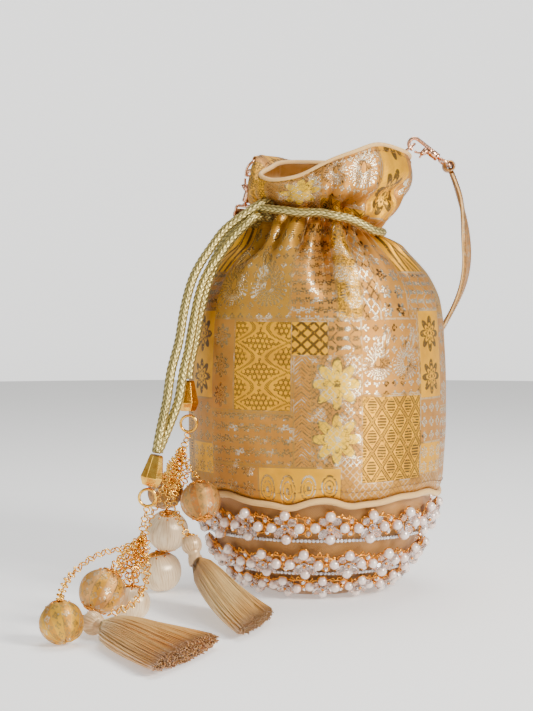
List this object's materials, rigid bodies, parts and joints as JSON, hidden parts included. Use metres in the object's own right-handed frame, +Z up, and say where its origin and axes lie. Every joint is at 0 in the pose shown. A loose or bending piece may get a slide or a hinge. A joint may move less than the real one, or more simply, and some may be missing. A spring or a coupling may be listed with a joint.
{
  "type": "potli bag",
  "caption": "Gathered brocade drawstring pouch on a beaded bowl base, with tassel and ball pendants on the drawstrings and a clip-on fabric strap.",
  "frame": {"origin": "centre of the bowl's flat underside", "axes": "+Z up out of the mouth, -Y the front with the drawstring ends at -X, +X the side of the strap's upper clasp"},
  "size_m": [0.2084, 0.2881, 0.2345],
  "materials": {
    "brocade": "woven metallic brocade in ochre, peach and silver",
    "lining_cloth": "tan satin lining",
    "piping_cloth": "cream cloth piping",
    "bowl_cloth": "tan gold cloth over a stiff bowl",
    "beads": "pearl and clear beads on gilt filigree",
    "stones": "small clear stones in silvery cups",
    "metallic_cord": "knitted metallic cord, pale gold green",
    "gold_metal": "polished gold plate",
    "rose_gold_metal": "polished rose gold plate",
    "ivory_silk": "wound ivory silk thread",
    "tassel_silk": "tan gold silk thread"
  },
  "bodies": {
    "root": {"outer_shell": "brocade", "lining": "lining_cloth", "rim_piping": "piping_cloth", "base_piping": "piping_cloth", "base_cup": "bowl_cloth", "bead_trim_1": "beads", "bead_trim_2": "beads", "bead_trim_3": "beads", "stone_chain_1": "stones", "stone_chain_2": "stones", "drawstring_loop_1": "metallic_cord", "drawstring_loop_2": "metallic_cord", "drawstring_front": "metallic_cord", "cord_a1": "metallic_cord", "cord_a2": "metallic_cord", "cord_b1": "metallic_cord", "cord_b2": "metallic_cord", "cord_cap_a": "gold_metal", "cord_cap_b": "gold_metal", "cap_ring_a": "gold_metal", "cap_ring_b": "gold_metal", "main_chain_a": "gold_metal", "main_chain_b": "gold_metal", "ball_chain_a1": "gold_metal", "ball_chain_a2": "gold_metal", "ball_chain_a3": "gold_metal", "ball_chain_a4": "gold_metal", "tassel_chain_a": "gold_metal", "ball_chain_b1": "gold_metal", "ball_chain_b2": "gold_metal", "ball_chain_b3": "gold_metal", "tassel_chain_b": "gold_metal", "brocade_ball_1": "brocade", "brocade_ball_2": "brocade", "brocade_ball_3": "brocade", "brocade_ball_4": "brocade", "silk_ball_1": "ivory_silk", "silk_ball_2": "ivory_silk", "silk_ball_3": "ivory_silk", "tassel_head_1": "tassel_silk", "tassel_skirt_1": "tassel_silk", "tassel_head_2": "tassel_silk", "tassel_skirt_2": "tassel_silk", "strap": "brocade", "swivel_eye_right": "rose_gold_metal", "d_ring_right": "rose_gold_metal", "ring_tab_right": "brocade", "swivel_eye_left": "rose_gold_metal", "d_ring_left": "rose_gold_metal", "ring_tab_left": "brocade"},
    "right_hook": {"hook_right": "rose_gold_metal", "gate_pin_right": "rose_gold_metal"},
    "right_gate": {"gate_right": "rose_gold_metal"},
    "left_hook": {"hook_left": "rose_gold_metal", "gate_pin_left": "rose_gold_metal"},
    "left_gate": {"gate_left": "rose_gold_metal"}
  },
  "joints": [
    {"name": "right_swivel", "type": "hinge", "parent": "root", "child": "right_hook", "pos_m": [0.0626, 0.003, 0.224], "axis": [0.7911, 0, -0.6117], "range_deg": [-25, 25]},
    {"name": "right_gate_hinge", "type": "hinge", "parent": "right_hook", "child": "right_gate", "pos_m": [0.05523, 0.003, 0.22591], "axis": [0, 1, 0], "range_deg": [0, 22], "stiffness_Nm_per_rad": 0.002},
    {"name": "left_swivel", "type": "hinge", "parent": "root", "child": "left_hook", "pos_m": [-0.0369, 0.0313, 0.2029], "axis": [-0.2775, 0.2145, -0.9365], "range_deg": [-25, 25]},
    {"name": "left_gate_hinge", "type": "hinge", "parent": "left_hook", "child": "left_gate", "pos_m": [-0.03718, 0.03152, 0.21051], "axis": [0.6115, 0.7912, 0], "range_deg": [0, 22], "stiffness_Nm_per_rad": 0.002}
  ]
}
